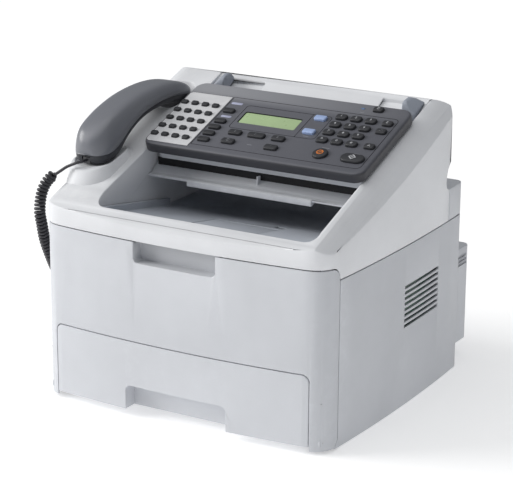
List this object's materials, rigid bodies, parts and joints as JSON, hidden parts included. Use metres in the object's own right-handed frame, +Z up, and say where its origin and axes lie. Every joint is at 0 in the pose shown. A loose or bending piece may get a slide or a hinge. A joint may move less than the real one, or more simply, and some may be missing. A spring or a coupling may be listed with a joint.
{
  "type": "fax machine",
  "caption": "Desktop laser fax machine with corded handset, sloping key panel, document feeder, paper bay, hinged covers and paper cassette.",
  "frame": {"origin": "bottom centre of the machine's box without its cord, on the surface it stands on", "axes": "+Z up, -Y out of the front where the cassette and front cover are, +X to the right seen from the front"},
  "size_m": [0.4082, 0.4, 0.3477],
  "materials": {
    "housing_light": "fine matte moulded plastic, cool light grey",
    "housing_rim": "fine matte moulded plastic, off-white grey",
    "housing_shade": "fine matte moulded plastic, mid grey",
    "chassis": "zinc-plated and moulded chassis",
    "rubber_dark": "dark rubber",
    "panel_dark": "dark grey fine metallic-look plastic",
    "plate_silver": "silver painted plastic",
    "lcd_green": "green display window",
    "key_dark": "satin dark key rubber",
    "key_blue": "translucent light blue keys",
    "handset_top": "smooth dark grey plastic",
    "handset_under": "darker smooth plastic",
    "cord_dark": "dark satin cord jacket",
    "plug_dark": "dark plug plastic",
    "guide_grey": "blue-grey moulded plastic",
    "black_plastic": "black plastic",
    "board_green": "printed circuit board",
    "metal_plate": "pressed steel"
  },
  "bodies": {
    "root": {"base_frame": "chassis", "feet": "rubber_dark", "left_side_cover": "housing_light", "right_side_cover": "housing_light", "top_housing": "housing_rim", "output_tray": "housing_shade", "rear_upper_cover": "housing_light", "rear_panel": "housing_light", "power_inlet": "black_plastic", "jack_block": "black_plastic", "scan_bed": "housing_light", "scan_sensor": "black_plastic", "handset_cradle": "housing_rim", "cord_leads": "cord_dark", "cord_coil": "cord_dark", "base_plug": "plug_dark", "fuser_unit": "black_plastic", "laser_unit": "black_plastic", "main_board": "board_green", "power_supply": "board_green"},
    "front_cover": {"front_cover": "housing_light"},
    "cassette": {"paper_cassette": "housing_light"},
    "lift_plate": {"cassette_lift_plate": "metal_plate"},
    "paper_guide_left": {"cassette_guide_left": "black_plastic"},
    "paper_guide_right": {"cassette_guide_right": "black_plastic"},
    "stop_flap": {"output_stop_flap": "housing_shade"},
    "rear_cover": {"rear_cover": "housing_light"},
    "power_switch": {"power_switch": "black_plastic"},
    "control_panel": {"control_panel": "panel_dark", "panel_lower_shell": "housing_light", "speed_dial_plate": "plate_silver", "lcd_window": "lcd_green"},
    "speed_dial_keys": {"speed_dial_keys": "key_dark"},
    "function_keys": {"function_keys": "key_dark"},
    "copy_keys": {"copy_keys": "key_blue"},
    "call_keys": {"call_keys": "key_dark"},
    "start_key": {"start_key": "key_dark"},
    "stop_key": {"stop_key": "key_dark"},
    "feed_roller": {"document_feed_roller": "rubber_dark"},
    "document_guide_left": {"document_guide_left": "guide_grey"},
    "document_guide_right": {"document_guide_right": "guide_grey"},
    "handset": {"handset_upper_shell": "handset_top", "handset_lower_shell": "handset_under", "handset_plug": "plug_dark"},
    "hook_switch": {"hook_switch": "black_plastic"},
    "toner": {"toner_cartridge": "black_plastic"},
    "exit_roller": {"exit_roller": "rubber_dark"},
    "pickup_roller": {"pickup_roller": "rubber_dark"},
    "key_1": {"key_1": "key_dark"},
    "key_2": {"key_2": "key_dark"},
    "key_3": {"key_3": "key_dark"},
    "key_4": {"key_4": "key_dark"},
    "key_5": {"key_5": "key_dark"},
    "key_6": {"key_6": "key_dark"},
    "key_7": {"key_7": "key_dark"},
    "key_8": {"key_8": "key_dark"},
    "key_9": {"key_9": "key_dark"},
    "key_star": {"key_star": "key_dark"},
    "key_0": {"key_0": "key_dark"},
    "key_hash": {"key_hash": "key_dark"}
  },
  "joints": [
    {"name": "front_cover_hinge", "type": "hinge", "parent": "root", "child": "front_cover", "pos_m": [0, -0.178, 0.014], "axis": [1, 0, 0], "range_deg": [0, 40]},
    {"name": "toner_slide", "type": "slide", "parent": "root", "child": "toner", "axis": [0, -1, 0], "range_m": [0, 0.0655]},
    {"name": "cassette_slide", "type": "slide", "parent": "root", "child": "cassette", "axis": [0, -1, 0], "range_m": [0, 0.24]},
    {"name": "lift_plate_hinge", "type": "hinge", "parent": "cassette", "child": "lift_plate", "pos_m": [0, -0.014, 0.021], "axis": [-1, 0, 0], "range_deg": [0, 14]},
    {"name": "paper_guides", "type": "slide", "parent": "cassette", "child": "paper_guide_left", "axis": [1, 0, 0], "range_m": [0, 0.033]},
    {"name": "paper_guide_right_slide", "type": "slide", "parent": "cassette", "child": "paper_guide_right", "axis": [1, 0, 0], "range_m": [-0.033, 0]},
    {"name": "stop_flap_hinge", "type": "hinge", "parent": "root", "child": "stop_flap", "pos_m": [0.02, -0.158, 0.2252], "axis": [1, 0, 0], "range_deg": [0, 140]},
    {"name": "rear_cover_hinge", "type": "hinge", "parent": "root", "child": "rear_cover", "pos_m": [0, 0.18, 0.027], "axis": [-1, 0, 0], "range_deg": [0, 80]},
    {"name": "power_switch_rock", "type": "hinge", "parent": "root", "child": "power_switch", "pos_m": [-0.1005, 0.141, 0.163], "axis": [1, 0, 0], "range_deg": [0, 14]},
    {"name": "control_panel_hinge", "type": "hinge", "parent": "root", "child": "control_panel", "pos_m": [0.024, 0.04888, 0.31816], "axis": [-1, 0, 0], "range_deg": [0, 30]},
    {"name": "press_key_1", "type": "slide", "parent": "control_panel", "child": "key_1", "axis": [0, 0.3387, -0.9409], "range_m": [0, 0.0008], "stiffness_N_per_m": 300, "springref_m": -0.001},
    {"name": "press_key_2", "type": "slide", "parent": "control_panel", "child": "key_2", "axis": [0, 0.3387, -0.9409], "range_m": [0, 0.0008], "stiffness_N_per_m": 300, "springref_m": -0.001},
    {"name": "press_key_3", "type": "slide", "parent": "control_panel", "child": "key_3", "axis": [0, 0.3387, -0.9409], "range_m": [0, 0.0008], "stiffness_N_per_m": 300, "springref_m": -0.001},
    {"name": "press_key_4", "type": "slide", "parent": "control_panel", "child": "key_4", "axis": [0, 0.3387, -0.9409], "range_m": [0, 0.0008], "stiffness_N_per_m": 300, "springref_m": -0.001},
    {"name": "press_key_5", "type": "slide", "parent": "control_panel", "child": "key_5", "axis": [0, 0.3387, -0.9409], "range_m": [0, 0.0008], "stiffness_N_per_m": 300, "springref_m": -0.001},
    {"name": "press_key_6", "type": "slide", "parent": "control_panel", "child": "key_6", "axis": [0, 0.3387, -0.9409], "range_m": [0, 0.0008], "stiffness_N_per_m": 300, "springref_m": -0.001},
    {"name": "press_key_7", "type": "slide", "parent": "control_panel", "child": "key_7", "axis": [0, 0.3387, -0.9409], "range_m": [0, 0.0008], "stiffness_N_per_m": 300, "springref_m": -0.001},
    {"name": "press_key_8", "type": "slide", "parent": "control_panel", "child": "key_8", "axis": [0, 0.3387, -0.9409], "range_m": [0, 0.0008], "stiffness_N_per_m": 300, "springref_m": -0.001},
    {"name": "press_key_9", "type": "slide", "parent": "control_panel", "child": "key_9", "axis": [0, 0.3387, -0.9409], "range_m": [0, 0.0008], "stiffness_N_per_m": 300, "springref_m": -0.001},
    {"name": "press_key_star", "type": "slide", "parent": "control_panel", "child": "key_star", "axis": [0, 0.3387, -0.9409], "range_m": [0, 0.0008], "stiffness_N_per_m": 300, "springref_m": -0.001},
    {"name": "press_key_0", "type": "slide", "parent": "control_panel", "child": "key_0", "axis": [0, 0.3387, -0.9409], "range_m": [0, 0.0008], "stiffness_N_per_m": 300, "springref_m": -0.001},
    {"name": "press_key_hash", "type": "slide", "parent": "control_panel", "child": "key_hash", "axis": [0, 0.3387, -0.9409], "range_m": [0, 0.0008], "stiffness_N_per_m": 300, "springref_m": -0.001},
    {"name": "press_start_key", "type": "slide", "parent": "control_panel", "child": "start_key", "axis": [0, 0.3387, -0.9409], "range_m": [0, 0.0008], "stiffness_N_per_m": 300, "springref_m": -0.001},
    {"name": "press_stop_key", "type": "slide", "parent": "control_panel", "child": "stop_key", "axis": [0, 0.3387, -0.9409], "range_m": [0, 0.0008], "stiffness_N_per_m": 300, "springref_m": -0.001},
    {"name": "press_copy_keys", "type": "slide", "parent": "control_panel", "child": "copy_keys", "axis": [0, 0.3387, -0.9409], "range_m": [0, 0.0008], "stiffness_N_per_m": 300, "springref_m": -0.001},
    {"name": "press_call_keys", "type": "slide", "parent": "control_panel", "child": "call_keys", "axis": [0, 0.3387, -0.9409], "range_m": [0, 0.0008], "stiffness_N_per_m": 300, "springref_m": -0.001},
    {"name": "press_function_keys", "type": "slide", "parent": "control_panel", "child": "function_keys", "axis": [0, 0.3387, -0.9409], "range_m": [0, 0.0008], "stiffness_N_per_m": 300, "springref_m": -0.001},
    {"name": "press_speed_dial_keys", "type": "slide", "parent": "control_panel", "child": "speed_dial_keys", "axis": [0, 0.3387, -0.9409], "range_m": [0, 0.0008], "stiffness_N_per_m": 300, "springref_m": -0.001},
    {"name": "feed_roller_spin", "type": "hinge", "parent": "root", "child": "feed_roller", "pos_m": [0.024, 0.01112, 0.27545], "axis": [1, 0, 0], "continuous": true},
    {"name": "document_guides", "type": "slide", "parent": "root", "child": "document_guide_left", "axis": [1, 0, 0], "range_m": [0, 0.036]},
    {"name": "document_guide_right_slide", "type": "slide", "parent": "root", "child": "document_guide_right", "axis": [1, 0, 0], "range_m": [-0.036, 0]},
    {"name": "handset_lift", "type": "slide", "parent": "root", "child": "handset", "axis": [0, 0, 1], "range_m": [0, 0.12]},
    {"name": "hook_switch_rise", "type": "slide", "parent": "root", "child": "hook_switch", "axis": [0, 0, 1], "range_m": [0, 0.004]},
    {"name": "exit_roller_spin", "type": "hinge", "parent": "root", "child": "exit_roller", "pos_m": [0.02, 0.081, 0.222], "axis": [1, 0, 0], "continuous": true},
    {"name": "pickup_roller_spin", "type": "hinge", "parent": "root", "child": "pickup_roller", "pos_m": [0, -0.116, 0.08], "axis": [1, 0, 0], "continuous": true}
  ],
  "couplings": [
    {"joint": "toner_slide", "follows": "front_cover_hinge", "m_per_rad": 0.093728},
    {"joint": "paper_guide_right_slide", "follows": "paper_guides", "ratio": -1},
    {"joint": "document_guide_right_slide", "follows": "document_guides", "ratio": -1},
    {"joint": "hook_switch_rise", "follows": "handset_lift", "ratio": 0.033}
  ]
}
